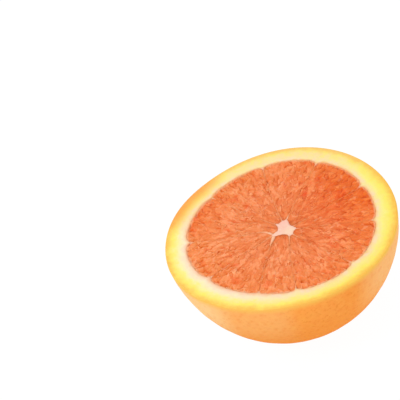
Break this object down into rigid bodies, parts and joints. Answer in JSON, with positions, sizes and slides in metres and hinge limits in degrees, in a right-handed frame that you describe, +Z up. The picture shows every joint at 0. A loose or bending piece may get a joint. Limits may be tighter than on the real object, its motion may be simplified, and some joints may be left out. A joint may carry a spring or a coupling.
{
  "type": "orange half",
  "caption": "Half of a pink-fleshed orange, cut across the middle and lying on its round end, with the wheel of juicy segments, pale pith and pored rind.",
  "frame": {"origin": "middle of the flat spot under the round end, on the surface that the orange half rests on", "axes": "+Z up, square to the cut face; +X to the right and +Y away from a viewer in front of the cut face"},
  "size_m": [0.0804, 0.0796, 0.0387],
  "materials": {
    "flesh": null,
    "rind": null,
    "pith": null
  },
  "bodies": {
    "root": {"orange_half": "flesh"}
  },
  "joints": []
}
